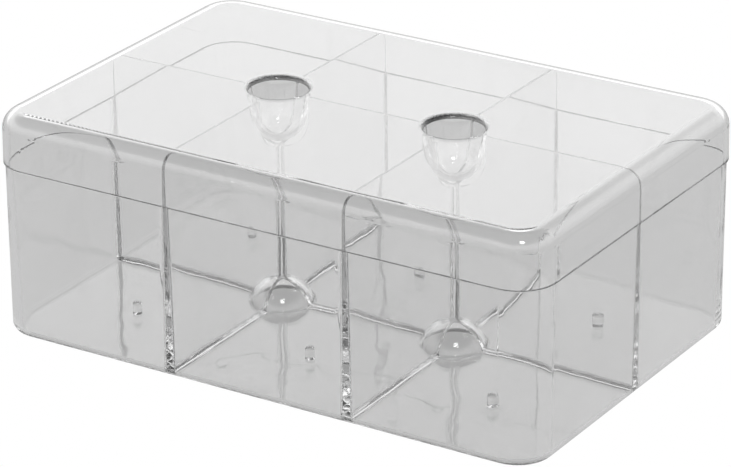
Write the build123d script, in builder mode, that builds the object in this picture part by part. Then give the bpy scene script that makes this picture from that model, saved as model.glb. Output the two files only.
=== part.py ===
from build123d import *
import os
from math import cos, radians, sin, tan

# A clear compartment box: a moulded tray with six compartments, and a loose lid with two finger cups.
# The origin is the centre of the tray's underside. +X runs along the row of three compartments.
# Sizes are in millimetres, angles in degrees.

# Overall
length = 240.0  # over the lid's skirt
width = 160.0  # over the lid's skirt
height = 91.0  # tray and lid together
corner_radius = 15.6  # of the lid in plan, at the skirt's lower edge

# Lid
lid_skirt = 21.4  # height of the skirt, which stands on the rim of the tray
lid_wall = 2.0
lid_plate = 2.0
lid_draft = 1.0
lid_edge_radius = 7.5  # outside, where the plate rolls over into the skirt
lid_edge_radius_inside = 5.5
skirt_edge_radius = 0.4  # outside, at the skirt's lower edge

# Finger cups, which hang from the lid's plate over the places where the dividers cross
cup_mouth_radius = 11.5
cup_lip_radius = 1.4  # rounding at the top of the bore
cup_lead_in_radius = 5.5  # larger rounding between that and the lid's face
cup_lead_in_angle = 20.0  # how far the lid's face bends down before the smaller rounding takes over
cup_taper = 2.5  # how much narrower the bore is where the half ball closes it
cup_depth = 20.9  # inside, below the lid's face
cup_wall = 1.3  # at the mouth
cup_end_wall = 2.0  # at the closed end
cup_root_radius = 1.0  # outside, under the plate

# Tray
overhang = 0.8  # of the lid's skirt past the tray's wall
tray_wall = 1.7  # at the rim
tray_floor = 1.6
tray_draft = 0.1
tray_edge_radius = 3.4  # outside, between wall and underside
rim_edge_radius = 0.4  # outside, at the top of the wall

# Dividers, one along X and two along Y, moulded with the tray
divider_thickness = 1.1  # at the top edge
divider_edge_radius = 0.35  # along the top edge and down the free ends
divider_draft = 0.75  # also of the inner face of the tray's wall
divider_clearance = 0.6  # between the top edges and the lid's plate
divider_end_clearance = 0.4  # between the ends above the rim and the lid's skirt
compartment_corner_radius = 1.6
compartment_foot_radius = 1.4

# Notches in the dividers, round the finger cups
notch_side_clearance = 0.9
notch_end_clearance = 2.5
notch_mouth_radius = 1.2

# Domes in the floor under the crossings, hollow from below
dome_radius = 14.0
dome_height = 9.7
dome_wall = 1.6
dome_foot_radius = 1.2
dome_mouth_radius = 0.6

# Pegs, one in each compartment
peg_radius = 1.9
peg_height = 5.4
peg_draft = 1.5
peg_top_radius = 1.4

# Sizes that follow from these
rim_height = height - lid_skirt  # top of the tray's wall
tray_length = length - 2 * overhang
tray_width = width - 2 * overhang
tray_corner_radius = corner_radius - overhang
room_length = tray_length - 2 * tray_wall  # between the walls, at the rim
room_width = tray_width - 2 * tray_wall
room_corner_radius = tray_corner_radius - tray_wall
plate_underside = height - lid_plate
cup_end_radius = cup_mouth_radius - cup_taper
divider_top = plate_underside - divider_clearance
compartment_length = (room_length - 2 * divider_thickness) / 3
compartment_width = (room_width - divider_thickness) / 2
pitch_x = compartment_length + divider_thickness
peg_pitch_x = length / 3
peg_pitch_y = width / 2
crossings = [(-pitch_x / 2, 0), (pitch_x / 2, 0)]
rim_plane = Plane.XY.offset(rim_height)

# Half a divider's thickness at the rim's height, where the drafted faces are drawn
divider_half = divider_thickness / 2 + (divider_top - rim_height) * tan(radians(divider_draft))

# The dividers' upper parts follow the inside of the lid
skirt_lean = (plate_underside - rim_height) * tan(radians(lid_draft))
divider_end = lid_wall + skirt_lean + divider_end_clearance  # in from the lid's outer face
divider_corner_radius = lid_edge_radius_inside - divider_clearance


def side_faces(block):
    return block.faces().filter_by(Axis.Z, reverse=True)


def bottom_edges(block):
    return block.faces().sort_by(Axis.Z)[0].outer_wire().edges()


def top_edges(block):
    return block.faces().sort_by(Axis.Z)[-1].outer_wire().edges()


def compartment(x_low, x_high, wall_corner_radius):
    """The room of one compartment as a solid, on the side where Y is positive.

    Its faces lean in towards the floor, so what is left between two rooms is a divider that
    thickens downwards. The upright edge furthest out gets the corner radius of the box.
    """
    with BuildPart() as room:
        with BuildSketch(Plane.XY.offset(tray_floor)):
            with Locations((x_low, divider_half)):
                Rectangle(x_high - x_low, room_width / 2 - divider_half, align=(Align.MIN, Align.MIN))
        extrude(amount=divider_top - tray_floor)
        draft(side_faces(room), rim_plane, -divider_draft)
        upright = room.edges().group_by(Axis.Z)[1]
        upright = upright.sort_by(lambda edge: edge.center().X + edge.center().Y)
        fillet(upright[-1], wall_corner_radius)
        upright = room.edges().filter_by(lambda edge: edge.length > divider_top - tray_floor)
        upright = upright.sort_by(lambda edge: edge.center().X + edge.center().Y)
        fillet(upright[:3], compartment_corner_radius)
        fillet(bottom_edges(room), compartment_foot_radius)
    return room.part


def divider_plate(plane, lid_span):
    """The upper part of a divider, which stands in the lid, with some height below the rim to join it."""
    with BuildPart() as upper:
        with BuildSketch(plane) as outline:
            with Locations((0, rim_height)):
                Rectangle(lid_span - 2 * divider_end, 2 * (divider_top - rim_height))
            fillet(outline.vertices().group_by(Axis.Y)[-1], divider_corner_radius)
        extrude(amount=divider_half, both=True)
        draft(upper.faces().filter_by(plane), rim_plane, divider_draft)
        broad_faces = upper.faces().sort_by(lambda face: face.area)[-2:]
        free_edges = [edge for face in broad_faces for edge in face.edges().sort_by(Axis.Z)[1:]]
        fillet(free_edges, divider_edge_radius)
    return upper.part


beside_divider = pitch_x / 2 + divider_half
between_dividers = pitch_x / 2 - divider_half
corner_room = compartment(beside_divider, room_length / 2, room_corner_radius)
middle_room = compartment(-between_dividers, between_dividers, compartment_corner_radius)

# The space that a notch leaves round a finger cup
notch_radius = cup_mouth_radius + cup_wall + notch_side_clearance
notch_bottom = height - cup_depth - cup_end_wall - notch_end_clearance
notch_flare = notch_radius + notch_mouth_radius
with BuildPart() as notch:
    with BuildSketch(Plane.XZ):
        with BuildLine():
            end = (notch_radius, notch_bottom + notch_radius)
            side = (notch_radius, divider_top - notch_mouth_radius)
            RadiusArc((0, notch_bottom), end, -notch_radius)
            Line(end, side)
            RadiusArc(side, (notch_flare, divider_top), notch_mouth_radius)
            Polyline((notch_flare, divider_top), (notch_flare, height), (0, height), (0, notch_bottom))
        make_face()
    revolve(axis=Axis.Z)

# A dome that stands on the floor, and the hollow under it
dome_ball_radius = (dome_radius**2 + dome_height**2) / (2 * dome_height)
dome_ball_centre = tray_floor + dome_height - dome_ball_radius
dome_skirt = dome_radius + 2 * dome_foot_radius
with BuildPart() as dome:
    with BuildSketch(Plane.XZ) as dome_profile:
        with BuildLine():
            Polyline((0, tray_floor + dome_height), (0, 0), (dome_skirt, 0), (dome_skirt, tray_floor),
                     (dome_radius, tray_floor))
            RadiusArc((dome_radius, tray_floor), (0, tray_floor + dome_height), -dome_ball_radius)
        make_face()
        foot = dome_profile.vertices().sort_by_distance((dome_radius, 0, tray_floor))[0]
        fillet(foot, dome_foot_radius)
    revolve(axis=Axis.Z)

# One peg
with BuildPart() as peg:
    with BuildSketch(Plane.XY.offset(tray_floor)):
        Circle(peg_radius)
    extrude(amount=peg_height)
    draft(side_faces(peg), Plane.XY.offset(tray_floor), peg_draft)
    fillet(top_edges(peg), peg_top_radius)

# The tray: a solid block, with plates on it for the upper parts of the dividers, and then the
# six rooms cut out of both
with BuildPart() as tray:
    with BuildSketch():
        RectangleRounded(tray_length, tray_width, tray_corner_radius)
    extrude(amount=rim_height)
    draft(side_faces(tray), rim_plane, -tray_draft)
    fillet(bottom_edges(tray), tray_edge_radius)
    fillet(top_edges(tray), rim_edge_radius)

    add(divider_plate(Plane.XZ, length))
    for place in (-pitch_x / 2, pitch_x / 2):
        add(divider_plate(Plane.YZ.offset(place), width))

    for room in (corner_room, middle_room):
        add(room, mode=Mode.SUBTRACT)
        mirror(room, about=Plane.XZ, mode=Mode.SUBTRACT)
    mirror(corner_room, about=Plane.YZ, mode=Mode.SUBTRACT)
    mirror(corner_room.mirror(Plane.XZ), about=Plane.YZ, mode=Mode.SUBTRACT)

    with Locations(*crossings):
        add(notch.part, mode=Mode.SUBTRACT)
        add(dome.part)
    with Locations(*[(x, 0, dome_ball_centre) for x, _ in crossings]):
        Sphere(dome_ball_radius - dome_wall, mode=Mode.SUBTRACT)
    hollow_mouths = tray.faces().sort_by(Axis.Z)[0].inner_wires().edges()
    fillet(hollow_mouths, dome_mouth_radius)

    with GridLocations(peg_pitch_x, peg_pitch_y, 3, 2):
        add(peg.part)

# A finger cup's outside, down from the plate, and its bore, down from the lid's face
cup_outside_radius = cup_mouth_radius + cup_wall
cup_end_outside = cup_end_radius + cup_end_wall
cup_end_centre = height - cup_depth + cup_end_radius
cup_bottom = cup_end_centre - cup_end_outside
with BuildPart() as cup:
    with BuildSketch(Plane.XZ) as cup_profile:
        with BuildLine():
            RadiusArc((0, cup_bottom), (cup_end_outside, cup_end_centre), -cup_end_outside)
            root = cup_outside_radius + 2 * cup_root_radius
            Polyline((cup_end_outside, cup_end_centre), (cup_outside_radius, plate_underside),
                     (root, plate_underside), (root, height - lid_plate / 2), (0, height - lid_plate / 2),
                     (0, cup_bottom))
        make_face()
        fillet(cup_profile.vertices().sort_by_distance((cup_outside_radius, 0, plate_underside))[0],
               cup_root_radius)
    revolve(axis=Axis.Z)

# The lip is two arcs that meet where the lid's face has bent down by the lead-in angle
bend = radians(cup_lead_in_angle)
lip_break = cup_mouth_radius + cup_lip_radius * (1 - sin(bend))
lip_edge = lip_break + cup_lead_in_radius * sin(bend)
lip_break_height = height - cup_lead_in_radius * (1 - cos(bend))
lip_height = lip_break_height - cup_lip_radius * cos(bend)
with BuildPart() as bore:
    with BuildSketch(Plane.XZ):
        with BuildLine():
            RadiusArc((0, height - cup_depth), (cup_end_radius, cup_end_centre), -cup_end_radius)
            Line((cup_end_radius, cup_end_centre), (cup_mouth_radius, lip_height))
            RadiusArc((cup_mouth_radius, lip_height), (lip_break, lip_break_height), cup_lip_radius)
            RadiusArc((lip_break, lip_break_height), (lip_edge, height), cup_lead_in_radius)
            Polyline((lip_edge, height), (lip_edge, height + lid_plate), (0, height + lid_plate),
                     (0, height - cup_depth))
        make_face()
    revolve(axis=Axis.Z)

# The space inside the lid
with BuildPart() as lid_room:
    with BuildSketch(rim_plane):
        RectangleRounded(length - 2 * lid_wall, width - 2 * lid_wall, corner_radius - lid_wall)
    extrude(amount=plate_underside - rim_height)
    draft(side_faces(lid_room), rim_plane, lid_draft)
    fillet(top_edges(lid_room), lid_edge_radius_inside)

with BuildPart() as lid:
    with BuildSketch(rim_plane):
        RectangleRounded(length, width, corner_radius)
    extrude(amount=height - rim_height)
    draft(side_faces(lid), rim_plane, lid_draft)
    fillet(top_edges(lid), lid_edge_radius)
    fillet(bottom_edges(lid), skirt_edge_radius)
    add(lid_room.part, mode=Mode.SUBTRACT)
    with Locations(*crossings):
        add(cup.part)
        add(bore.part, mode=Mode.SUBTRACT)

tray.part.label = "tray"
lid.part.label = "lid"
os.makedirs("parts", exist_ok=True)
export_step(tray.part, "parts/tray.step")
export_step(lid.part, "parts/lid.step")
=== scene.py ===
# %% [markdown]
# # A clear compartment box
#
# The real object is two mouldings of clear, glassy plastic: a tray whose floor, walls, dividers,
# domes and pegs are one piece, and a loose lid with two cups for the fingers. Both shapes come
# ready made as a frame, in metres, with +Z up, so this lesson is about what makes them look like
# clear plastic: the light, the thin sharp edges, and the small faults of a moulding.

# %% Load the frame
import math

import bpy
from mathutils import Matrix, Vector


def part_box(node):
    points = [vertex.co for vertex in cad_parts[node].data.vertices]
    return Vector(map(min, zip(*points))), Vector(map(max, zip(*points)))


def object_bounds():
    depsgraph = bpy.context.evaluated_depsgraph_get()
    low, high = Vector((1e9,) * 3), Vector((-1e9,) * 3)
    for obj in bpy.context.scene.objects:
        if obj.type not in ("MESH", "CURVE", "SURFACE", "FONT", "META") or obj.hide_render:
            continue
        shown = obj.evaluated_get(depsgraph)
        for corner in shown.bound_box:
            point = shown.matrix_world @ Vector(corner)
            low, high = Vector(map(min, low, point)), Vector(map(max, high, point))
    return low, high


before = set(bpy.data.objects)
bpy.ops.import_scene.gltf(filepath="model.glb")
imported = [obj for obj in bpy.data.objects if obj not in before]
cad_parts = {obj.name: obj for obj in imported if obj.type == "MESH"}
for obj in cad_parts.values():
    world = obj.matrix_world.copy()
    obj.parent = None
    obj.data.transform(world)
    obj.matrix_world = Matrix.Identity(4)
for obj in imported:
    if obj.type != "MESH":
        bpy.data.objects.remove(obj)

design_low, design_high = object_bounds()
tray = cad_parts["tray"]
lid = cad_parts["lid"]
print("pieces:", tray.name, lid.name)

# %% [markdown]
# ## Measuring the pieces
#
# The finishes further down need a few places on the box: its walls, the seam where the skirt of
# the lid stands on the rim of the tray, and the crossings of the dividers. They could be typed in
# again, but then they would be wrong as soon as the design changed. It's safer to measure them.
# A cup hangs over each crossing, so the lowest point of the lid lies on the line of a crossing.

# %% Measure the box
mm = 0.001
half_length, half_width, box_height = design_high
tray_half_length, tray_half_width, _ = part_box("tray")[1]
lid_points = [vertex.co for vertex in lid.data.vertices]
seam = min(point.z for point in lid_points if point.x > half_length - 1 * mm)
crossing = abs(min(lid_points, key=lambda point: point.z).x)
print(f"box {2 * half_length / mm:.1f} x {2 * half_width / mm:.1f} x {box_height / mm:.1f} mm")
print(f"seam at {seam / mm:.1f} mm, crossings at {crossing / mm:.1f} mm either side of the middle")

# %% [markdown]
# ## The camera
#
# A long lens from well back keeps the sides of a box nearly parallel, as in a catalogue. The view
# is given the way a camera operator would say it: how far round, how high up, how far away, and
# which point of the box is in the middle. A camera looks along its own -Z axis, so its matrix is
# built from three directions: to its right, up, and back towards the operator.


# %% Camera
def direction(azimuth, elevation):
    """The way from the box to a place that is given in degrees round it and above it."""
    turn, rise = math.radians(azimuth), math.radians(elevation)
    level = math.cos(rise)
    return Vector((math.sin(turn) * level, -math.cos(turn) * level, math.sin(rise)))


def across(azimuth):
    """The level direction to the right of somebody who stands there and looks at the box."""
    turn = math.radians(azimuth)
    return Vector((math.cos(turn), math.sin(turn), 0))


def look(azimuth, elevation, roll, distance, target, lens):
    """A camera that looks at target. Angles are in degrees, distances in metres, the lens in mm."""
    back, right = direction(azimuth, elevation), across(azimuth)
    up = back.cross(right)
    tilt = Matrix.Rotation(math.radians(roll), 3, back)
    turned = Matrix((tilt @ right, tilt @ up, back)).transposed()
    data = bpy.data.cameras.new("camera")
    data.lens = lens
    camera = bpy.data.objects.new("camera", data)
    camera.matrix_world = Matrix.Translation(target + back * distance) @ turned.to_4x4()
    bpy.context.scene.collection.objects.link(camera)
    bpy.context.scene.camera = camera
    return camera


camera = look(azimuth=32.25, elevation=23.31, roll=-0.46, distance=1.491,
              target=Vector((-0.4 * mm, 0, 38.4 * mm)), lens=191.06)
print("camera at", [round(number, 3) for number in camera.matrix_world.translation])

# %% [markdown]
# ## Shader maths that reads like maths
#
# A node tree is a long list of boxes and wires, and hard to read as code. This small class wraps
# one output socket. Arithmetic on it adds Math nodes behind the scenes, so that `1 - mask * 0.5`
# does what it says, and `node` adds any other kind of node, with its settings set before its
# sockets are filled.


# %% A socket that can be calculated with
class Value:
    """An output socket, or just a tree to start from when there is no socket yet."""

    def __init__(self, tree, socket=None):
        self.tree = tree
        self.socket = socket

    def node(self, kind, settings=None, inputs=None, output=0):
        """Add a node. Its inputs are values, plain numbers, or tuples for colours and vectors."""
        made = self.tree.nodes.new(kind)
        for name, setting in (settings or {}).items():
            if name == "stops":
                first, *others = setting
                elements = made.color_ramp.elements
                elements.remove(elements[-1])
                elements[0].position, elements[0].color = first[0], grey(first[1])
                for place, brightness in others:
                    elements.new(place).color = grey(brightness)
            else:
                setattr(made, name, setting)
        for name, given in (inputs or {}).items():
            if isinstance(given, Value):
                self.tree.links.new(given.socket, made.inputs[name])
            else:
                made.inputs[name].default_value = given
        return Value(self.tree, made.outputs[output])

    def math(self, operation, *terms):
        return self.node("ShaderNodeMath", {"operation": operation}, dict(enumerate(terms)))

    def __add__(self, other):
        return self.math("ADD", self, other)

    def __sub__(self, other):
        return self.math("SUBTRACT", self, other)

    def __rsub__(self, other):
        return self.math("SUBTRACT", other, self)

    def __mul__(self, other):
        return self.math("MULTIPLY", self, other)

    def __truediv__(self, other):
        return self.math("DIVIDE", self, other)

    def __abs__(self):
        return self.math("ABSOLUTE", self)

    __radd__ = __add__
    __rmul__ = __mul__

    def rising(self, low, high):
        """0 up to low, 1 from high on, and a smooth slope between them."""
        limits = {"Value": self, "From Min": low, "From Max": high}
        return self.node("ShaderNodeMapRange", {"interpolation_type": "SMOOTHSTEP"}, limits)

    def falling(self, low, high):
        return 1 - self.rising(low, high)

    def at_least(self, low):
        return self.math("MAXIMUM", self, low)

    def part(self, axis):
        """One of the three numbers of a vector."""
        return self.node("ShaderNodeSeparateXYZ", inputs={0: self}, output=axis)

    def along(self, way):
        """How far a vector reaches in a direction."""
        inputs = {0: self, 1: way}
        return self.node("ShaderNodeVectorMath", {"operation": "DOT_PRODUCT"}, inputs, "Value")

    def blend(self, low, high):
        """A colour between two colours, with this value as the share of the second."""
        inputs = {"Factor": self, "A": low, "B": high}
        return self.node("ShaderNodeMix", {"data_type": "RGBA"}, inputs, 2)

    def feed(self, node, name):
        self.tree.links.new(self.socket, node.inputs[name])


def grey(brightness):
    return (brightness, brightness, brightness, 1)


print("Value can be added, subtracted, multiplied and divided")

# %% [markdown]
# ## A white room that isn't white to the plastic
#
# Clear plastic has almost no colour of its own. It shows what stands round it, so in a room that
# is white all over a clear box disappears. Product photographers use bright-field lighting: the
# table and wall behind the box are white, but what the plastic reflects and bends into view is
# darker, and that draws the edges. One way is to hang up black cards. Here the world itself is
# brighter or darker by height, and the camera alone sees it as plain white. The Light Path node
# tells a ray that comes straight from the camera from all others.


# %% The sky of the studio
def seen_white(start, brightness):
    """Plain white for the camera, and the given brightness for light that meets the plastic."""
    straight = start.node("ShaderNodeLightPath", output="Is Camera Ray")
    return straight + (1 - straight) * brightness


def soft_box(way, azimuth, elevation, half_size, edge, power):
    """A square lamp in the sky, with soft edges, that faces the box."""
    middle, right = direction(azimuth, elevation), across(azimuth)
    towards = way.along(middle)
    sideways = abs(way.along(right) / towards)
    upwards = abs(way.along(middle.cross(right)) / towards)
    low, high = half_size - edge, half_size + edge
    in_front = towards.rising(0.0, 0.1)
    return sideways.falling(low, high) * upwards.falling(low, high) * in_front * power


sky = bpy.data.worlds.new("studio")
sky.use_nodes = True
bpy.context.scene.world = sky
start = Value(sky.node_tree)
way = start.node("ShaderNodeTexCoord", output="Generated")

# brightness by height, from the horizon at 0 to straight overhead at 1
horizon_to_zenith = (
    (0, 0.9), (0.2, 1.2), (0.3, 1.5), (0.5, 1.5), (0.62, 0.5), (0.75, 0.15), (1, 0.15))
ramp = start.node("ShaderNodeValToRGB", {"stops": horizon_to_zenith}, {0: way.part(2)})
brightness = ramp + soft_box(way, azimuth=42, elevation=52.5, half_size=0.1, edge=0.02, power=14)
seen_white(start, brightness).feed(sky.node_tree.nodes["Background"], "Color")
bpy.context.scene.view_settings.view_transform = "Standard"
print("sky nodes:", len(sky.node_tree.nodes))

# %% [markdown]
# ## Letting the light through
#
# Light that gets into the edge of a clear plate can't leave through its faces. It bounces along
# inside, as in a glass fibre, and comes out far away. A renderer stops a ray after a dozen bounces
# and calls it black, so the ends of the dividers and the lips of the cups would be black bands. A
# higher limit lets the rays find their way out, and then the ends glow grey, with broken bright
# patterns low down. How dark they are is then up to the plastic, further down.

# %% Bounces
cycles = bpy.context.scene.cycles
cycles.max_bounces = cycles.transmission_bounces = cycles.glossy_bounces = 96
print("a ray may bounce", cycles.max_bounces, "times")

# %% [markdown]
# ## The floor
#
# The box stands on white paper. Paper lit from above would be grey with shadows under a clear
# box, and a lit table is plain white, so this floor glows by itself. The plastic sees it a little
# darker. Straight under the box a painted shadow darkens the glow again: a soft footprint of the
# box, drawn into the floor's colour where the box would stand in its own shade. It lies a hair
# below the tray, because two faces in the same place would hide each other by turns.

# %% Floor
gap = 0.4 * mm
bpy.ops.mesh.primitive_plane_add(size=60, location=(0, 0, -gap))
floor = bpy.context.object
floor.name = "floor"

table = bpy.data.materials.new("lit_table")
table.use_nodes = True
start = Value(table.node_tree)
place = start.node("ShaderNodeTexCoord", output="Object")
open_table, painted_shadow_under_box, corner, fade = 0.6, 0.42, 15 * mm, 6 * mm
past_side = (abs(place.part(0)) - (tray_half_length - corner)).at_least(0)
past_front = (abs(place.part(1)) - (tray_half_width - corner)).at_least(0)
past_corner = start.math("SQRT", past_side * past_side + past_front * past_front)
# painted shadow: inside the tray's footprint, with soft corners, the floor's glow is lowered to
# stand in for the shade under the box
shade = open_table + past_corner.falling(corner - fade, corner) * (painted_shadow_under_box - open_table)
table.node_tree.nodes.remove(table.node_tree.nodes["Principled BSDF"])
glow = table.node_tree.nodes.new("ShaderNodeEmission")
seen_white(start, shade).feed(glow, "Color")
table_output = table.node_tree.nodes["Material Output"]
table.node_tree.links.new(glow.outputs[0], table_output.inputs["Surface"])
floor.data.materials.append(table)
print(f"floor {gap / mm} mm below the tray; brightness {open_table}, and {painted_shadow_under_box} under the box")

# %% [markdown]
# ## What a moulding has on its surface
#
# A perfect surface looks like computer glass. Injection-moulded plastic is nearly as smooth, but
# it's never quite flat: it shrinks as it cools, so the faces have long shallow waves, and where a
# divider runs into a wall the thicker plastic pulls the outer face in along a line, a sink mark.
# These are far too shallow to model, a few hundredths of a millimetre, yet they bend what is seen
# through them. The Bump node is made for that. All heights are in metres, and the node's own
# distance is 1, so that they stay true lengths.


# %% Waves, sink marks and ripples
def waves(place, size, depth):
    """Smooth hills and hollows, a few of them to every size."""
    inputs = {"Vector": place, "Scale": 1 / size, "Detail": 1.0}
    return (place.node("ShaderNodeTexNoise", inputs=inputs) - 0.5) * depth


def line_at(distance, width):
    """1 on a line and nothing beside it, from how far away the line is."""
    return distance.falling(0.0, width)


def wall_mask(place, axis, half_size):
    """1 on the outer faces of the two walls across an axis, and 0 on their inner faces."""
    inner_edge, outer_edge = half_size - 1.2 * mm, half_size - 0.6 * mm
    return abs(place.part(axis)).rising(inner_edge, outer_edge)


def sink_marks(place, depth, width):
    """The lines on the outer faces of the walls, opposite the ends of the dividers."""
    from_crossing = abs(abs(place.part(0)) - crossing)
    on_front = wall_mask(place, 1, tray_half_width) * line_at(from_crossing, width)
    on_side = wall_mask(place, 0, tray_half_length) * line_at(abs(place.part(1)), width)
    return (on_front + on_side) * -depth


print(f"sink marks at x = +-{crossing / mm:.1f} mm on the long walls, and y = 0 on the short ones")

# %% [markdown]
# ## Clear plastic
#
# The Principled shader makes clear plastic with its Transmission set to 1. Polystyrene bends light
# strongly, with an index of 1.58, and that gives the bright and dark lines along every edge. The
# base colour tints the light once for each surface that it passes, so it is almost white, with
# clouds a shade greyer where the melt flowed together. Roughness starts near nothing and rises in
# faint hairlines, because a box like this slides over benches and shelves. The plastic also
# swallows a little light on the way: hardly any through a wall of 2 mm, but about two fifths along
# a divider of 160 mm. That is a Volume Absorption node, with its density per metre, and it keeps
# the long inner paths of the edges darker than the faces.


# %% Clear plastic
def hairlines(place, stretch, amount):
    """Fine scratches: noise squeezed in one direction, so that it runs long in the others."""
    squeeze = {0: place, 1: stretch}
    drawn_out = place.node("ShaderNodeVectorMath", {"operation": "MULTIPLY"}, squeeze)
    inputs = {"Vector": drawn_out, "Scale": 60.0, "Detail": 3.0}
    return place.node("ShaderNodeTexNoise", inputs=inputs).rising(0.66, 0.74) * amount


def clear_plastic(name, clear, cloudy, surface):
    """A clear plastic between two greys. surface gives the height of its face at a place on it."""
    plastic = bpy.data.materials.new(name)
    plastic.use_nodes = True
    shader = plastic.node_tree.nodes["Principled BSDF"]
    shader.inputs["Transmission Weight"].default_value = 1.0
    shader.inputs["IOR"].default_value = 1.58
    start = Value(plastic.node_tree)
    place = start.node("ShaderNodeTexCoord", output="Object")
    inputs = {"Vector": place, "Scale": 18.0, "Detail": 2.0}
    clouds = place.node("ShaderNodeTexNoise", inputs=inputs)
    clouds.rising(0.4, 0.7).blend(grey(clear), grey(cloudy)).feed(shader, "Base Color")
    scuffs = hairlines(place, (1, 14, 1), 0.05) + hairlines(place, (11, 1, 1), 0.04)
    (scuffs + 0.005).feed(shader, "Roughness")
    inputs = {"Strength": 1.0, "Distance": 1.0, "Height": surface(place)}
    start.node("ShaderNodeBump", inputs=inputs).feed(shader, "Normal")
    inside = start.node("ShaderNodeVolumeAbsorption", inputs={"Color": grey(0.0), "Density": 3.5})
    inside.feed(plastic.node_tree.nodes["Material Output"], "Volume")
    return plastic


def tray_surface(place):
    """Long waves, and sink marks that ripple near the floor, where the dividers are thickest."""
    height = place.part(2)
    ripple_length, ripple_share = 5 * mm, 0.6
    ripples = height.math("SINE", height * (2 * math.pi / ripple_length))
    low_down = height.falling(8 * mm, 30 * mm)
    marks = sink_marks(place, depth=0.05 * mm, width=2.2 * mm)
    marks = marks * (1 + ripples * low_down * ripple_share)
    return waves(place, size=20 * mm, depth=0.22 * mm) + marks


def lid_surface(place):
    return waves(place, size=45 * mm, depth=0.06 * mm)


finishes = ((tray, clear_plastic("clear_tray_plastic", 0.972, 0.958, tray_surface)),
            (lid, clear_plastic("clear_lid_plastic", 0.982, 0.970, lid_surface)))
for piece, plastic in finishes:
    for holder in piece.material_slots:
        holder.material = plastic
    print(piece.name, "wears", plastic.name, "with", len(plastic.node_tree.nodes), "nodes")
